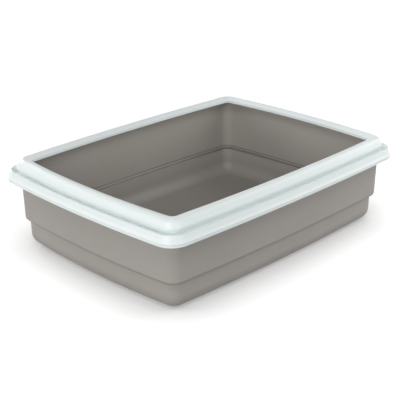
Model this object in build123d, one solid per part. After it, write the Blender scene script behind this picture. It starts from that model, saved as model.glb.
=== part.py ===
from build123d import *
from collections import namedtuple
import math
import os

# Driving sizes, in millimetres. The tray's long side lies along X and its short side along Y,
# and the origin is the middle of its underside. An inset is measured inward from the widest
# line of the tray, which runs round the lower edge of the rim's skirt.
tray_length = 580.0
tray_width = 434.4
long_bow = 7.1  # how far the long sides swell outward between their corners
short_bow = 9.9
outer_corner = 33.4  # corner radius in plan at the widest line
corner_taper = 0.667  # how much of the inset the corner radius loses further in

# The pan
pan_wall = 2.0
floor_thickness = 2.4
foot_round = 23.0  # rounding between the lower walls and the underside
floor_corner = 3.0  # corner radius in plan of the flat underside
lower_corner = 21.0  # and of the lower walls
lower_wall_height = 47.4
lower_draft = 0.8  # how far each tier leans outward from its foot to its top
upper_draft = 2.2
step_width = 5.3
step_rise = 2.8
step_round = 5.5
step_hollow = 4.0
wall_inset = 18.9
seat_height = 133.4  # top of the flange that carries the rim
wall_rise = 13.6  # the wall's top edge above the flange
flange_drop = 7.5
flange_round = 1.4

# The rim's section
rim_wall = 2.0
locating_gap = 0.8  # between the pan's wall and the rim's groove
skirt_gap = 1.8  # between the flange's edge and the rim's shoulder
skirt_drop = 11.4  # from the seat down to the skirt's lower edge
bead_inset = 1.0
bead_height = 3.2
bead_round = 0.8
crease_inset = 1.6
crease_width = 1.8
shoulder_inset = 2.4
shoulder_drop = 1.4
shoulder_round = 5.0
ridge_inset = 5.5
ridge_rise = 10.6
ridge_round = 3.0
groove_inset = 10.2
groove_round = 1.8
brow_overhang = 3.8
brow_undercut = 6.9
brow_rise = 9.5
brow_round = 12.0
flank_width = 6.6
crest_rise = 28.3
crest_round = 9.0
top_width = 17.4
lip_rise = 21.0
lip_depth = 4.3
lip_round = 1.0

round_step = 15.0  # degrees between the lines that draw a round stretch

step_inset = wall_inset + upper_draft
step_height = lower_wall_height + step_rise
lower_wall_inset = step_inset + step_width
foot_inset = lower_wall_inset + lower_draft
wall_top = seat_height + wall_rise

Spot = namedtuple("Spot", "inset height corner round")


def corner_at(inset):
    """Corner radius in plan of the rim, and of all that nests in it."""
    return max(outer_corner - corner_taper * inset, rim_wall)


def spot(inset, height, round=0.0, corner=None):
    """A point of a section, with its own rounding and the plan radius of its corners."""
    return Spot(inset, height, corner_at(inset) if corner is None else corner, round)


def heading(start, end):
    """Unit vector and length from one point of a section to the next."""
    along = Vector(end.inset - start.inset, end.height - start.height)
    return along.normalized(), along.length


def parallel(skin, wall):
    """The skin's other face: each line of the section moves square to itself by the wall."""
    moved = []
    last = len(skin) - 1
    for i, here in enumerate(skin):
        into, _ = heading(skin[max(i, 1) - 1], skin[max(i, 1)])
        out, _ = heading(skin[min(i, last - 1)], skin[min(i, last - 1) + 1])
        side = Vector(into.Y + out.Y, -into.X - out.X)
        shift = side * (2 * wall / side.dot(side))
        opens = into.cross(out).Z > 0
        rounding = here.round + wall if opens else max(here.round - wall, wall / 4)
        corner = max(here.corner - wall, wall / 2)
        moved.append(Spot(here.inset + shift.X, here.height + shift.Y, corner, rounding))
    return moved


def rounded(skin):
    """Draws each rounding of a section as short lines along its arc."""
    drawn = [skin[0]]
    for before, here, after in zip(skin, skin[1:], skin[2:]):
        if here.round == 0:
            drawn.append(here)
            continue
        into, length_in = heading(before, here)
        out, length_out = heading(here, after)
        turn = math.radians(into.get_angle(out))
        room_in = length_in * here.round / (here.round + before.round)
        room_out = length_out * here.round / (here.round + after.round)
        reach = min(here.round * math.tan(turn / 2), room_in, room_out)
        steps = max(math.ceil(math.degrees(turn) / round_step), 2)
        for i in range(steps + 1):
            # a rational quadratic between the two tangent points is the arc itself
            t = i / steps
            weights = ((1 - t) ** 2, 2 * t * (1 - t) * math.cos(turn / 2), t**2)
            mixed = []
            for a, b, c in zip(before[:3], here[:3], after[:3]):
                pulls = (b + (a - b) * reach / length_in, b, b + (c - b) * reach / length_out)
                mixed.append(sum(w * p for w, p in zip(weights, pulls)) / sum(weights))
            drawn.append(Spot(*mixed, 0))
    return drawn + [skin[-1]]


def outline(place):
    """The tray's plan at one point of a section: four bowed sides and four round corners."""
    half_x = tray_length / 2 - short_bow - place.inset
    half_y = tray_width / 2 - long_bow - place.inset
    long_radius = (half_x**2 + long_bow**2) / (2 * long_bow)
    short_radius = (half_y**2 + short_bow**2) / (2 * short_bow)
    long_centre = Vector(0, half_y + long_bow - long_radius)
    short_centre = Vector(half_x + short_bow - short_radius, 0)

    # the corner's centre lies one corner radius inside both sides
    between = short_centre - long_centre
    to_long = long_radius - place.corner
    to_short = short_radius - place.corner
    along = (to_long**2 - to_short**2 + between.length**2) / (2 * between.length)
    across = math.sqrt(to_long**2 - along**2)
    unit = between.normalized()
    centre = long_centre + unit * along + Vector(unit.Y, -unit.X) * across

    on_long = long_centre + (centre - long_centre).normalized() * long_radius
    on_short = short_centre + (centre - short_centre).normalized() * short_radius
    bisector = (on_long - centre + on_short - centre).normalized()
    on_corner = centre + bisector * place.corner
    long_middle = Vector(0, half_y + long_bow)
    short_middle = Vector(half_x + short_bow, 0)

    def at(point, x, y):
        return Vector(point.X * x, point.Y * y, place.height)

    edges = []
    for x, y in ((1, 1), (-1, -1)):
        stops = [
            (at(on_short, x, y), at(on_corner, x, y), at(on_long, x, y)),
            (at(on_long, x, y), at(long_middle, x, y), at(on_long, -x, y)),
            (at(on_long, -x, y), at(on_corner, -x, y), at(on_short, -x, y)),
            (at(on_short, -x, y), at(short_middle, -x, y), at(on_short, -x, -y)),
        ]
        edges += [Edge.make_three_point_arc(*three) for three in stops]
    return edges


def skinned(section, closed):
    """Sweeps a section round the tray. An open section is closed by flat faces at its ends."""
    rings = [outline(place) for place in section]
    pairs = list(zip(rings, rings[1:]))
    caps = []
    if closed:
        pairs.append((rings[-1], rings[0]))
    else:
        caps = [Face(Wire(rings[0])), Face(Wire(rings[-1]))]
    faces = [Face.make_surface_from_curves(a, b) for low, high in pairs for a, b in zip(low, high)]
    solid = Solid(Shell(faces + caps))
    return solid if solid.volume > 0 else -solid


def wall_inset_at(height):
    """Inset of the pan's upper wall, which leans outward from the step to its top."""
    share = (height - step_height) / (wall_top - step_height)
    return step_inset + (wall_inset - step_inset) * share


def make_pan():
    """Floor, two tiers of wall with a small step between, the flange and the edge above it."""
    walls = [
        spot(foot_inset + foot_round, 0, corner=floor_corner),
        spot(foot_inset, 0, foot_round, lower_corner),
        spot(lower_wall_inset, lower_wall_height, step_hollow, lower_corner),
        spot(step_inset, step_height, step_round),
        spot(wall_inset, wall_top),
    ]
    inside = parallel(walls, pan_wall)
    inside[0] = inside[0]._replace(height=floor_thickness)
    inside[1] = inside[1]._replace(height=floor_thickness)
    inside[-1] = inside[-1]._replace(height=wall_top)

    flange_inset = shoulder_inset + rim_wall + skirt_gap
    flange_under = seat_height - pan_wall
    edge_bottom = seat_height - flange_drop
    flange = [
        spot(wall_inset_at(flange_under), flange_under, pan_wall / 2),
        spot(flange_inset + pan_wall, flange_under, pan_wall / 4),
        spot(flange_inset + pan_wall, edge_bottom),
        spot(flange_inset, edge_bottom),
        spot(flange_inset, seat_height, flange_round),
        spot(wall_inset_at(seat_height), seat_height),
        walls[-1],
    ]
    return skinned(rounded(walls[:-1] + flange) + rounded(inside[::-1]), closed=False)


def make_rim():
    """One moulded section all round: skirt, ridge, groove, broad sloping band and inner lip."""
    rim_bottom = seat_height - skirt_drop
    skirt_edge = rim_bottom + bead_height + crease_width
    groove_floor = seat_height + rim_wall
    groove_wall = wall_inset_at(seat_height) - locating_gap - rim_wall
    brow_inset = groove_wall - brow_overhang
    brow_height = seat_height + brow_rise
    crest_inset = brow_inset + flank_width
    lip_inset = crest_inset + top_width
    lip_top = seat_height + lip_rise
    band = [
        spot(shoulder_inset, seat_height - shoulder_drop, shoulder_round),
        spot(ridge_inset, seat_height + ridge_rise, ridge_round),
        spot(groove_inset, groove_floor, groove_round),
        spot(groove_wall, groove_floor, groove_round),
        spot(groove_wall, brow_height - brow_undercut),
        spot(brow_inset, brow_height, brow_round),
        spot(crest_inset, seat_height + crest_rise, crest_round),
        spot(lip_inset, lip_top, lip_round),
        spot(lip_inset, lip_top - lip_depth),
    ]
    bead = [
        spot(bead_inset, rim_bottom),
        spot(bead_inset, rim_bottom + bead_height, bead_round / 2),
        spot(crease_inset, skirt_edge - crease_width / 2),
        spot(0, skirt_edge, bead_round),
    ]
    plain_skirt = [spot(bead_inset, rim_bottom), spot(0, skirt_edge)]
    inside = parallel(plain_skirt + band, rim_wall)
    inside[0] = inside[0]._replace(height=rim_bottom)
    return skinned(rounded(bead + band) + rounded(inside[::-1]), closed=True)


parts = {"pan": make_pan(), "rim": make_rim()}

os.makedirs("parts", exist_ok=True)
for name, solid in parts.items():
    solid.label = name
    export_step(solid, f"parts/{name}.step")
    box = solid.bounding_box().size
    print(f"{name}: {box.X:.1f} x {box.Y:.1f} x {box.Z:.1f} mm, {solid.volume / 1000:.0f} cm3")
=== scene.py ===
import math
import bpy
from mathutils import Matrix, Vector


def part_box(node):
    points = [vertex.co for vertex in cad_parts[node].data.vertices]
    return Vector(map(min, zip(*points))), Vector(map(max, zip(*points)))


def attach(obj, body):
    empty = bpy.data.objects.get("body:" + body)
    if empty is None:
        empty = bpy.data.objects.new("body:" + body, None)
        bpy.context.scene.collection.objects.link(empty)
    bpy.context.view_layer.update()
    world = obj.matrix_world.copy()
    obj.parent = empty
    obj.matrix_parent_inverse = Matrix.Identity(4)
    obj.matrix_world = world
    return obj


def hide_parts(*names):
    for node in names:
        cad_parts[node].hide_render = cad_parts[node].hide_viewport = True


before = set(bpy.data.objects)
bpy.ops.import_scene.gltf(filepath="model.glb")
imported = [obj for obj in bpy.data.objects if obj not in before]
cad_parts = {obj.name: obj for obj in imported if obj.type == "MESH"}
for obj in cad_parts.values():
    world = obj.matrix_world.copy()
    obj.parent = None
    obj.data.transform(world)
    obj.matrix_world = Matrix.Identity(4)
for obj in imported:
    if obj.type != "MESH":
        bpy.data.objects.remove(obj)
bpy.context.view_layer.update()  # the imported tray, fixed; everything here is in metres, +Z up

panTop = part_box("pan")[1].z
rimLow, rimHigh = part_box("rim")
print("frame loaded:", ", ".join(sorted(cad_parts)))

# Plan of the tray, shared by both mouldings. An inset is measured inward from the widest line,
# which runs round the lower edge of the rim's skirt.
plan = {
    "longBow": 0.0071,  # how far the long sides swell outward
    "shortBow": 0.0099,
    "outerCorner": 0.0334,  # corner radius at the widest line
    "cornerTaper": 0.667,  # share of the inset that the radius loses further in
    "edgeCut": 0.0003,  # what the rounding of the skirt takes off the widest line
    "shortSteps": 18,  # points drawn on half a short side, a corner and half a long side
    "cornerSteps": 16,
    "longSteps": 24,
}
halfLength = rimHigh.x + plan["edgeCut"]
halfWidth = rimHigh.y + plan["edgeCut"]

pan = {
    "wall": 0.002,
    "floorThickness": 0.0024,
    "footRound": 0.023,
    "floorCorner": 0.003,
    "lowerCorner": 0.021,
    "lowerHeight": 0.0474,
    "lowerDraft": 0.0008,
    "upperDraft": 0.0022,
    "stepWidth": 0.0053,
    "stepRise": 0.0028,
    "stepRound": 0.0055,
    "stepHollow": 0.004,
    "wallInset": 0.0189,
    "wallRise": 0.0136,  # the wall's top edge above the flange that carries the rim
    "topRound": 0.0007,
    "flangeInset": 0.0062,
    "flangeDrop": 0.0075,
    "flangeRound": 0.0014,
    "flangeRoot": 0.001,  # rounding where the flange's underside meets the wall
    "flangeEdge": 0.0005,  # and of the flange's other edges
    "ledgePaintedShade": 540.0,  # painted shade on the ledge inside, as the bend of a hollow that would take as much
    "ledgeReach": 0.003,  # how far above and below the middle of the ledge it lies
    "floorPaintedShade": 180.0,
    "floorPaintedShadeSpan": (0.0172, 0.032),  # heights at which the painted shade on the inner floor starts to thin and has run out
}
stepInset = pan["wallInset"] + pan["upperDraft"]
stepHeight = pan["lowerHeight"] + pan["stepRise"]
seat = panTop - pan["wallRise"]  # top of the flange

rim = {
    "wall": 0.002,
    "locatingGap": 0.0008,  # between the pan's wall and the groove
    "lowerEdgeRound": 0.0004,
    "beadInset": 0.001,
    "beadHeight": 0.0032,
    "beadRound": 0.0008,
    "creaseInset": 0.0016,
    "creaseWidth": 0.0018,
    "shoulderInset": 0.0024,
    "shoulderDrop": 0.0014,
    "shoulderRound": 0.005,
    "ridgeInset": 0.0055,
    "ridgeRise": 0.0106,
    "ridgeRound": 0.003,
    "grooveInset": 0.0102,
    "grooveRound": 0.0018,
    "browOverhang": 0.0038,
    "browUndercut": 0.0069,
    "browRise": 0.0095,
    "browRound": 0.012,
    "flankWidth": 0.0066,
    "crestRise": 0.0283,
    "crestRound": 0.009,
    "topWidth": 0.0174,
    "lipRise": 0.021,
    "lipDepth": 0.0043,
    "lipRound": 0.001,
    "lipEdgeRound": 0.0006,
}

drawing = {
    "arcStep": math.radians(9),  # turn between two points of a rounding in a section
    "fewestSteps": 3,
    "arcShare": 0.999,  # share of its full length that a rounding gets, so that no points meet
    "toneReach": 0.0022,  # how far the tone of an edge or a hollow runs on beside its rounding
    "toneRoom": 0.0066,  # shortest straight stretch that has points for it
    "flatWeight": 80,  # above 50, the larger faces count for more in the shading
}


# Corner radius in plan of the rim, and of all that nests in it
def cornerAt(inset):
    return max(plan["outerCorner"] - plan["cornerTaper"] * inset, rim["wall"])


# A spot of a section is its inset, its height, the plan radius of its corners and its rounding
def spot(inset, height, rounding=0.0, corner=None):
    return (inset, height, cornerAt(inset) if corner is None else corner, rounding)


# Direction and length from one spot of a section to another
def heading(start, end):
    along = Vector((end[0] - start[0], end[1] - start[1]))
    return along.normalized(), along.length


# The other face of a skin: each line of the section moves square to itself by the wall
def otherFace(skin, wall):
    moved = []
    last = len(skin) - 1
    for i, (inset, height, corner, rounding) in enumerate(skin):
        into, _ = heading(skin[max(i, 1) - 1], skin[max(i, 1)])
        out, _ = heading(skin[min(i, last - 1)], skin[min(i, last - 1) + 1])
        side = Vector((into.y + out.y, -into.x - out.x))
        shift = side * (2 * wall / side.dot(side))
        opens = into.cross(out) > 0
        newRounding = rounding + wall if opens else max(rounding - wall, wall / 4)
        moved.append((inset + shift.x, height + shift.y, max(corner - wall, wall / 2), newRounding))
    return moved


# Draws the roundings of a section as arcs
def drawn(skin, closed):
    count = len(skin)
    line = []
    for i, here in enumerate(skin):
        atEnd = not closed and i in (0, count - 1)
        if here[3] == 0 or atEnd:
            line.append(here[:3])
            continue
        before, after = skin[i - 1], skin[(i + 1) % count]
        into, lengthIn = heading(before, here)
        out, lengthOut = heading(here, after)
        turn = into.angle(out)
        roomIn = lengthIn * here[3] / (here[3] + before[3])
        roomOut = lengthOut * here[3] / (here[3] + after[3])
        reach = min(here[3] * math.tan(turn / 2), roomIn, roomOut) * drawing["arcShare"]
        steps = max(math.ceil(turn / drawing["arcStep"]), drawing["fewestSteps"])
        for step in range(steps + 1):
            # a rational quadratic between the two tangent points is the arc itself
            t = step / steps
            weights = ((1 - t) ** 2, 2 * t * (1 - t) * math.cos(turn / 2), t * t)
            point = []
            for a, b, c in zip(before[:3], here[:3], after[:3]):
                pulls = (b + (a - b) * reach / lengthIn, b, b + (c - b) * reach / lengthOut)
                point.append(sum(w * p for w, p in zip(weights, pulls)) / sum(weights))
            line.append(tuple(point))
    return withToneEnds(line, closed)


# Adds a point beside each end of a straight stretch, where the tone of the rounding runs out
def withToneEnds(line, closed):
    ended = []
    for start, end in zip(line, line[1:] + line[:1]):
        ended.append(start)
        length = heading(start, end)[1]
        atEnd = not closed and start is line[-1]
        if atEnd or length < drawing["toneRoom"]:
            continue
        reach = drawing["toneReach"] / length
        for share in (reach, 1 - reach):
            ended.append(tuple(a + (b - a) * share for a, b in zip(start, end)))
    return ended


# One quarter of the plan, from the middle of a short side round the corner to a long side
def quarter(inset, corner):
    halfX = halfLength - plan["shortBow"] - inset
    halfY = halfWidth - plan["longBow"] - inset
    longRadius = (halfX**2 + plan["longBow"] ** 2) / (2 * plan["longBow"])
    shortRadius = (halfY**2 + plan["shortBow"] ** 2) / (2 * plan["shortBow"])
    longCentre = Vector((0, halfY + plan["longBow"] - longRadius))
    shortCentre = Vector((halfX + plan["shortBow"] - shortRadius, 0))

    # the corner's centre lies one corner radius inside both sides
    between = shortCentre - longCentre
    toLong, toShort = longRadius - corner, shortRadius - corner
    along = (toLong**2 - toShort**2 + between.length_squared) / (2 * between.length)
    across = math.sqrt(toLong**2 - along**2)
    unit = between.normalized()
    cornerCentre = longCentre + unit * along + Vector((unit.y, -unit.x)) * across

    fromShort, fromLong = cornerCentre - shortCentre, cornerCentre - longCentre
    shortEnd = math.atan2(fromShort.y, fromShort.x)
    longStart = math.atan2(fromLong.y, fromLong.x)
    arcs = [
        (shortCentre, shortRadius, 0, shortEnd, plan["shortSteps"]),
        (cornerCentre, corner, shortEnd, longStart, plan["cornerSteps"]),
        (longCentre, longRadius, longStart, math.pi / 2, plan["longSteps"]),
    ]
    points = []
    for centre, radius, start, end, steps in arcs:
        for step in range(steps):
            angle = start + (end - start) * step / steps
            points.append(centre + radius * Vector((math.cos(angle), math.sin(angle))))
    return points + [Vector((0, halfY + plan["longBow"]))]


# The whole plan at one point of a section: the quarter, mirrored across the tray both ways
def ring(inset, height, corner):
    points = quarter(inset, corner)
    whole = [(p.x, p.y) for p in points]
    whole += [(-x, y) for x, y in reversed(whole[:-1])]
    whole += [(-x, -y) for x, y in whole[1:-1]]
    return [(x, y, height) for x, y in whole]


# How sharply a section bends at each point: above 0 on outward edges, below 0 in hollows
def bends(line, closed):
    values = []
    count = len(line)
    for i, here in enumerate(line):
        if not closed and i in (0, count - 1):
            values.append(0.0)
            continue
        into, lengthIn = heading(line[i - 1], here)
        out, lengthOut = heading(here, line[(i + 1) % count])
        values.append(-into.angle_signed(out, 0) * 2 / (lengthIn + lengthOut))
    return values


# Bends of the pan's section, lowered where shade is painted inside it: on the ledge and near the
# floor
def paintedShadeBends(line):
    values = bends(line, False)
    topEdge = max(range(len(line)), key=lambda i: line[i][1])
    ledge = pan["lowerHeight"] + pan["stepRise"] / 2 + pan["wall"]
    thins, runsOut = pan["floorPaintedShadeSpan"]
    for i in range(topEdge, len(line)):
        height = line[i][1]
        if abs(height - ledge) < pan["ledgeReach"]:
            values[i] -= pan["ledgePaintedShade"]
        share = (runsOut - height) / (runsOut - thins)
        values[i] -= pan["floorPaintedShade"] * min(max(share, 0), 1)
    return values


# Rows of quads over a flat end of the sweep, between its four sides
def flatEnd(vertices, faces, first, height, turned):
    perSide = plan["shortSteps"] + plan["cornerSteps"] + plan["longSteps"]
    count = 4 * perSide
    cornerMiddle = plan["shortSteps"] + plan["cornerSteps"] // 2
    width = 2 * (perSide - cornerMiddle)
    depth = 2 * cornerMiddle
    grid = {}
    for i in range(width + 1):
        grid[i, depth] = first + (2 * perSide - cornerMiddle - i) % count
        grid[i, 0] = first + (2 * perSide + cornerMiddle + i) % count
    for j in range(depth + 1):
        grid[width, j] = first + (j - cornerMiddle) % count
        grid[0, j] = first + (2 * perSide + cornerMiddle - j) % count
    for i in range(1, width):
        for j in range(1, depth):
            low, high = vertices[grid[i, 0]], vertices[grid[i, depth]]
            left, right = vertices[grid[0, j]], vertices[grid[width, j]]
            x = low[0] + (high[0] - low[0]) * (j / depth)
            y = left[1] + (right[1] - left[1]) * (i / width)
            grid[i, j] = len(vertices)
            vertices.append((x, y, height))
    for i in range(width):
        for j in range(depth):
            face = (grid[i, j], grid[i + 1, j], grid[i + 1, j + 1], grid[i, j + 1])
            faces.append(face[::-1] if turned else face)


# Sweeps a drawn section round the tray into one closed skin, which keeps its bends for the tones
def sweep(name, line, lineBends, closed):
    vertices = []
    faces = []
    pointBends = []
    rings = [ring(*place) for place in line]
    count = len(rings[0])
    for points, bend in zip(rings, lineBends):
        vertices += points
        pointBends += [bend] * count
    rows = len(rings) if closed else len(rings) - 1
    for row in range(rows):
        low, high = row * count, (row + 1) % len(rings) * count
        for i in range(count):
            j = (i + 1) % count
            faces.append((low + i, low + j, high + j, high + i))
    if not closed:
        flatEnd(vertices, faces, 0, line[0][1], True)
        pointBends += [lineBends[0]] * (len(vertices) - len(pointBends))
        flatEnd(vertices, faces, (len(rings) - 1) * count, line[-1][1], False)
        pointBends += [lineBends[-1]] * (len(vertices) - len(pointBends))
    mesh = bpy.data.meshes.new(name)
    mesh.from_pydata(vertices, [], faces)
    mesh.attributes.new("bend", "FLOAT", "POINT").data.foreach_set("value", pointBends)
    mesh.polygons.foreach_set("use_smooth", [True] * len(mesh.polygons))
    mesh.update()
    piece = bpy.data.objects.new(name, mesh)
    bpy.context.scene.collection.objects.link(piece)
    shading = piece.modifiers.new("flat stretches stay flat", "WEIGHTED_NORMAL")
    shading.weight = drawing["flatWeight"]
    print(f"{name}: {len(vertices)} points, {len(faces)} faces")
    return piece


# Inset of the pan's upper wall, which leans outward from the step to its top
def wallInsetAt(height):
    share = (height - stepHeight) / (panTop - stepHeight)
    return stepInset - pan["upperDraft"] * share


# Floor, two tiers of wall with a small step, the flange under the rim and the edge above it
def makePan():
    lowerInset = stepInset + pan["stepWidth"]
    footInset = lowerInset + pan["lowerDraft"]
    walls = [
        spot(footInset + pan["footRound"], 0, corner=pan["floorCorner"]),
        spot(footInset, 0, pan["footRound"], pan["lowerCorner"]),
        spot(lowerInset, pan["lowerHeight"], pan["stepHollow"], pan["lowerCorner"]),
        spot(stepInset, stepHeight, pan["stepRound"]),
        spot(pan["wallInset"], panTop, pan["topRound"]),
    ]
    inside = otherFace(walls, pan["wall"])
    for i in (0, 1):
        inside[i] = (inside[i][0], pan["floorThickness"], *inside[i][2:])
    inside[-1] = (inside[-1][0], panTop, inside[-1][2], pan["topRound"])
    under = seat - pan["wall"]
    backInset = pan["flangeInset"] + pan["wall"]
    low = seat - pan["flangeDrop"]
    flange = [
        spot(wallInsetAt(under), under, pan["flangeRoot"]),
        spot(backInset, under, pan["flangeEdge"]),
        spot(backInset, low, pan["flangeEdge"]),
        spot(pan["flangeInset"], low, pan["flangeEdge"]),
        spot(pan["flangeInset"], seat, pan["flangeRound"]),
        spot(wallInsetAt(seat), seat, pan["flangeEdge"]),
    ]
    line = drawn(walls[:-1] + flange + walls[-1:] + inside[::-1], False)
    return sweep("panMoulding", line, paintedShadeBends(line), False)


# One section all round: skirt with its bead, ridge, groove, broad sloping band and inner lip
def makeRim():
    skirtEdge = rimLow.z + rim["beadHeight"] + rim["creaseWidth"]
    grooveFloor = seat + rim["wall"]
    grooveWall = wallInsetAt(seat) - rim["locatingGap"] - rim["wall"]
    browInset = grooveWall - rim["browOverhang"]
    browHeight = seat + rim["browRise"]
    crestInset = browInset + rim["flankWidth"]
    lipInset = crestInset + rim["topWidth"]
    lipTop = seat + rim["lipRise"]
    band = [
        spot(rim["shoulderInset"], seat - rim["shoulderDrop"], rim["shoulderRound"]),
        spot(rim["ridgeInset"], seat + rim["ridgeRise"], rim["ridgeRound"]),
        spot(rim["grooveInset"], grooveFloor, rim["grooveRound"]),
        spot(grooveWall, grooveFloor, rim["grooveRound"]),
        spot(grooveWall, browHeight - rim["browUndercut"], rim["browRound"]),
        spot(browInset, browHeight, rim["browRound"]),
        spot(crestInset, seat + rim["crestRise"], rim["crestRound"]),
        spot(lipInset, lipTop, rim["lipRound"]),
        spot(lipInset, lipTop - rim["lipDepth"], rim["lipEdgeRound"]),
    ]
    bead = [
        spot(rim["beadInset"], rimLow.z, rim["lowerEdgeRound"]),
        spot(rim["beadInset"], rimLow.z + rim["beadHeight"], rim["beadRound"] / 2),
        spot(rim["creaseInset"], skirtEdge - rim["creaseWidth"] / 2, rim["beadRound"] / 2),
        spot(0, skirtEdge, rim["beadRound"]),
    ]
    plainSkirt = [spot(rim["beadInset"], rimLow.z), spot(0, skirtEdge, rim["beadRound"])]
    inside = otherFace(plainSkirt + band, rim["wall"])
    inside[0] = (inside[0][0], rimLow.z, inside[0][2], rim["lowerEdgeRound"])
    inside[-1] = (*inside[-1][:3], rim["lipEdgeRound"])
    line = drawn(bead + band + inside[::-1], True)
    return sweep("rimMoulding", line, bends(line, True), True)


panPiece = makePan()
rimPiece = makeRim()

# Finishes
panFinish = {
    "colour": (0.392, 0.369, 0.340),
    "otherTone": (0.380, 0.357, 0.328),  # slow drift of the colour over a hand's width
    "edgeTone": (0.398, 0.376, 0.348),  # rubbed edges
    "paintedShadeTone": (0.095, 0.088, 0.08),  # painted shade in the hollows
    "roughness": (0.44, 0.56),
    "grainDepth": 0.00003,
    "rippleDepth": 0.00035,
    "specular": 0.35,
}
rimFinish = {
    "colour": (0.855, 0.915, 0.91),
    "otherTone": (0.845, 0.91, 0.905),
    "edgeTone": (0.875, 0.93, 0.925),
    # painted shade in the groove and the creases of the rim
    "paintedShadeTone": (0.66, 0.72, 0.72),
    "roughness": (0.28, 0.40),
    "grainDepth": 0.000015,
    "rippleDepth": 0.00025,
    "specular": 0.5,
}
texture = {  # a span is the two values of a noise between which its effect grows
    "drift": {"size": 0.11, "detail": 2, "span": (0.35, 0.65)},
    "smudge": {"size": 0.028, "detail": 4, "span": (0.3, 0.7)},
    "ripple": {"size": 0.09, "detail": 1},
    "grain": {"size": 0.0007, "detail": 3},
    "sharpEdge": 700.0,  # bend, in 1/m, that counts as a full edge
    "sharpHollow": 600.0,
    "toneShare": 0.8,  # how much of its own tone a full edge or hollow takes
}


def noise(tree, place, kind):
    made = tree.nodes.new("ShaderNodeTexNoise")
    made.inputs["Scale"].default_value = 1 / kind["size"]
    made.inputs["Detail"].default_value = kind["detail"]
    tree.links.new(place, made.inputs["Vector"])
    return made.outputs["Fac"]


def remap(tree, value, start, end, low=0.0, high=1.0):
    made = tree.nodes.new("ShaderNodeMapRange")
    made.inputs["From Min"].default_value = start
    made.inputs["From Max"].default_value = end
    made.inputs["To Min"].default_value = low
    made.inputs["To Max"].default_value = high
    tree.links.new(value, made.inputs["Value"])
    return made.outputs["Result"]


def combine(tree, operation, first, second):
    made = tree.nodes.new("ShaderNodeMath")
    made.operation = operation
    tree.links.new(first, made.inputs[0])
    tree.links.new(second, made.inputs[1])
    return made.outputs[0]


# A tone is a colour, or the socket of one that is already blended
def blendTone(tree, share, first, second):
    made = tree.nodes.new("ShaderNodeMix")
    made.data_type = "RGBA"
    tree.links.new(share, made.inputs["Factor"])
    colourSockets = [socket for socket in made.inputs if socket.type == "RGBA"]
    for socket, tone in zip(colourSockets, (first, second)):
        if isinstance(tone, tuple):
            socket.default_value = (*tone, 1)
        else:
            tree.links.new(tone, socket)
    return next(socket for socket in made.outputs if socket.type == "RGBA")


def bump(tree, height, depth, normal=None):
    made = tree.nodes.new("ShaderNodeBump")
    made.inputs["Distance"].default_value = depth
    tree.links.new(height, made.inputs["Height"])
    if normal:
        tree.links.new(normal, made.inputs["Normal"])
    return made.outputs["Normal"]


def mouldedPlastic(name, finish):
    material = bpy.data.materials.new(name)
    material.use_nodes = True
    tree = material.node_tree
    shader = tree.nodes["Principled BSDF"]
    place = tree.nodes.new("ShaderNodeTexCoord").outputs["Object"]
    attribute = tree.nodes.new("ShaderNodeAttribute")
    attribute.attribute_name = "bend"
    bend = attribute.outputs["Fac"]

    drift = remap(tree, noise(tree, place, texture["drift"]), *texture["drift"]["span"])
    tone = blendTone(tree, drift, finish["colour"], finish["otherTone"])
    rubbed = remap(tree, bend, 0, texture["sharpEdge"], 0, texture["toneShare"])
    tone = blendTone(tree, rubbed, tone, finish["edgeTone"])
    # painted shade: the hollows, and the pan's ledge and inner floor, darken towards the shade tone
    paintedShade = remap(tree, bend, 0, -texture["sharpHollow"], 0, texture["toneShare"])
    tone = blendTone(tree, paintedShade, tone, finish["paintedShadeTone"])
    tree.links.new(tone, shader.inputs["Base Color"])

    smudge = noise(tree, place, texture["smudge"])
    roughness = remap(tree, smudge, *texture["smudge"]["span"], *finish["roughness"])
    tree.links.new(roughness, shader.inputs["Roughness"])
    shader.inputs["Specular IOR Level"].default_value = finish["specular"]

    ripple = bump(tree, noise(tree, place, texture["ripple"]), finish["rippleDepth"])
    grain = bump(tree, noise(tree, place, texture["grain"]), finish["grainDepth"], ripple)
    tree.links.new(grain, shader.inputs["Normal"])
    return material


panPiece.data.materials.append(mouldedPlastic("taupe polypropylene", panFinish))
rimPiece.data.materials.append(mouldedPlastic("pale mint polypropylene", rimFinish))
for piece, body, slot in ((panPiece, "pan", "pan_plastic"), (rimPiece, "rim", "rim_plastic")):
    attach(piece, body)
    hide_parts(body)  # each body has one node, of the same name
print("finishes on both mouldings")

# Studio. A lamp stands "turn" degrees round the tray from its front, "rise" degrees above it and
# "away" metres off, and its power is in watts.
studio = {
    "floorSize": 12.0,
    "floorDrop": 0.0002,  # keeps the floor clear of the pan's underside
    "floorColour": (0.62, 0.62, 0.62),
    "floorGlow": (0.62, 1.0),  # white that the camera sees on the floor, near the tray and far off
    "glowReach": (0.6, 2.0),  # distances from the tray between which the glow grows
    "contactReach": 0.08,  # how far off the tray still dims the glow
    "contactOpen": (0.5, 0.98),  # open shares of the floor between which the dimming fades
    "contactDim": 0.42,  # share of the glow that is left right beside the tray
    "skyStrength": 0.02,  # light from all round
    "aim": (0, 0, 0.05),
    "lamps": {
        "main": {"turn": -70, "rise": 18, "away": 2.0, "size": (1.2, 0.8), "power": 13.5},
        "high": {"turn": -50, "rise": 55, "away": 2.0, "size": (1.2, 0.8), "power": 11.5},
        "front": {"turn": 0, "rise": 18, "away": 2.0, "size": (1.2, 0.8), "power": 5.2},
        "back": {"turn": 180, "rise": 20, "away": 2.0, "size": (1.2, 0.8), "power": 20.0},
        "left": {"turn": 225, "rise": 20, "away": 2.0, "size": (1.2, 0.8), "power": 7.4},
        "right": {"turn": 60, "rise": 35, "away": 0.9, "size": (1.1, 0.9), "power": 6.6},
    },
    "ownAims": {"right": (0.25, -0.15, 0.08)},  # lamps that light one corner more than the rest
}


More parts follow.
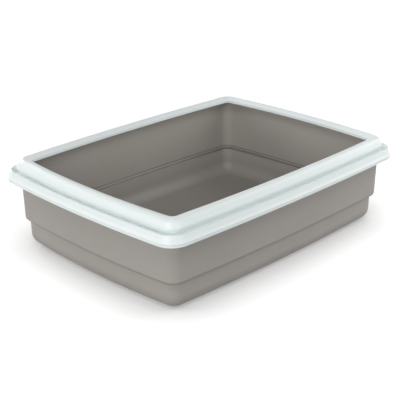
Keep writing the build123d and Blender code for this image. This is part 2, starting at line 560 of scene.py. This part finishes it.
# 1 for rays that show the white backdrop: from the camera, off gloss or through glass
def showsBackdrop(tree):
    rays = tree.nodes.new("ShaderNodeLightPath").outputs
    seen = combine(tree, "MAXIMUM", rays["Is Camera Ray"], rays["Is Glossy Ray"])
    return combine(tree, "MAXIMUM", seen, rays["Is Transmission Ray"])


# A matt floor with a white glow on top, which grows with distance and is dimmed beside the tray into
# a painted contact shadow
def floorFinish():
    material = bpy.data.materials.new("studio floor")
    material.use_nodes = True
    tree = material.node_tree
    tree.nodes.remove(tree.nodes["Principled BSDF"])
    matt = tree.nodes.new("ShaderNodeBsdfDiffuse")
    matt.inputs["Color"].default_value = (*studio["floorColour"], 1)

    distance = tree.nodes.new("ShaderNodeVectorMath")
    distance.operation = "LENGTH"
    tree.links.new(tree.nodes.new("ShaderNodeTexCoord").outputs["Object"], distance.inputs[0])
    strength = remap(tree, distance.outputs["Value"], *studio["glowReach"], *studio["floorGlow"])
    contact = tree.nodes.new("ShaderNodeAmbientOcclusion")
    contact.inputs["Distance"].default_value = studio["contactReach"]
    dimmed = remap(tree, contact.outputs["AO"], *studio["contactOpen"], studio["contactDim"], 1)
    strength = combine(tree, "MULTIPLY", strength, dimmed)
    strength = combine(tree, "MULTIPLY", strength, showsBackdrop(tree))
    glow = tree.nodes.new("ShaderNodeEmission")
    tree.links.new(strength, glow.inputs["Strength"])

    both = tree.nodes.new("ShaderNodeAddShader")
    tree.links.new(matt.outputs[0], both.inputs[0])
    tree.links.new(glow.outputs[0], both.inputs[1])
    tree.links.new(both.outputs[0], tree.nodes["Material Output"].inputs["Surface"])
    return material


def makeFloor():
    place = (0, 0, -studio["floorDrop"])
    bpy.ops.mesh.primitive_plane_add(size=studio["floorSize"], location=place)
    floor = bpy.context.object
    floor.name = "studioFloor"
    floor.data.materials.append(floorFinish())


def makeSky():
    sky = bpy.data.worlds.new("studio")
    bpy.context.scene.world = sky
    sky.use_nodes = True
    tree = sky.node_tree
    background = tree.nodes["Background"]
    background.inputs["Color"].default_value = (1, 1, 1, 1)
    strength = remap(tree, showsBackdrop(tree), 0, 1, studio["skyStrength"], 1)
    tree.links.new(strength, background.inputs["Strength"])


# Unit vector away from the tray, for a turn and a rise in degrees
def outward(turn, rise):
    turn, rise = math.radians(turn), math.radians(rise)
    return Vector((math.sin(turn) * math.cos(rise), -math.cos(turn) * math.cos(rise), math.sin(rise)))


def makeLamps():
    for name, lamp in studio["lamps"].items():
        aim = Vector(studio["ownAims"].get(name, studio["aim"]))
        away = outward(lamp["turn"], lamp["rise"])
        data = bpy.data.lights.new(name, "AREA")
        data.shape = "RECTANGLE"
        data.size, data.size_y = lamp["size"]
        data.energy = lamp["power"]
        made = bpy.data.objects.new(name, data)
        made.location = aim + away * lamp["away"]
        made.rotation_euler = away.to_track_quat("Z", "Y").to_euler()
        made.visible_camera = False
        bpy.context.scene.collection.objects.link(made)


makeFloor()
makeSky()
makeLamps()
print("studio lit")

# The photograph's point of view
view = {
    "azimuth": -45.18,  # degrees
    "elevation": 22.49,
    "roll": -0.36,
    "target": (-0.02437, -0.01298, 0.07),
    "distance": 1.71904,
    "lens": 88.29,  # millimetres
    "sensor": 36.0,
}


def makeCamera():
    back = outward(view["azimuth"], view["elevation"])
    level = Vector((0, 0, 1)).cross(back).normalized()
    upright = back.cross(level)
    roll = math.radians(view["roll"])
    right = level * math.cos(roll) + upright * math.sin(roll)
    up = upright * math.cos(roll) - level * math.sin(roll)
    data = bpy.data.cameras.new("camera")
    data.lens = view["lens"]
    data.sensor_width = view["sensor"]
    camera = bpy.data.objects.new("camera", data)
    turned = Matrix((right, up, back)).transposed()
    place = Vector(view["target"]) + back * view["distance"]
    camera.matrix_world = Matrix.Translation(place) @ turned.to_4x4()
    bpy.context.scene.collection.objects.link(camera)
    bpy.context.scene.camera = camera


makeCamera()
bpy.context.scene.view_settings.view_transform = "Standard"
print("camera placed")
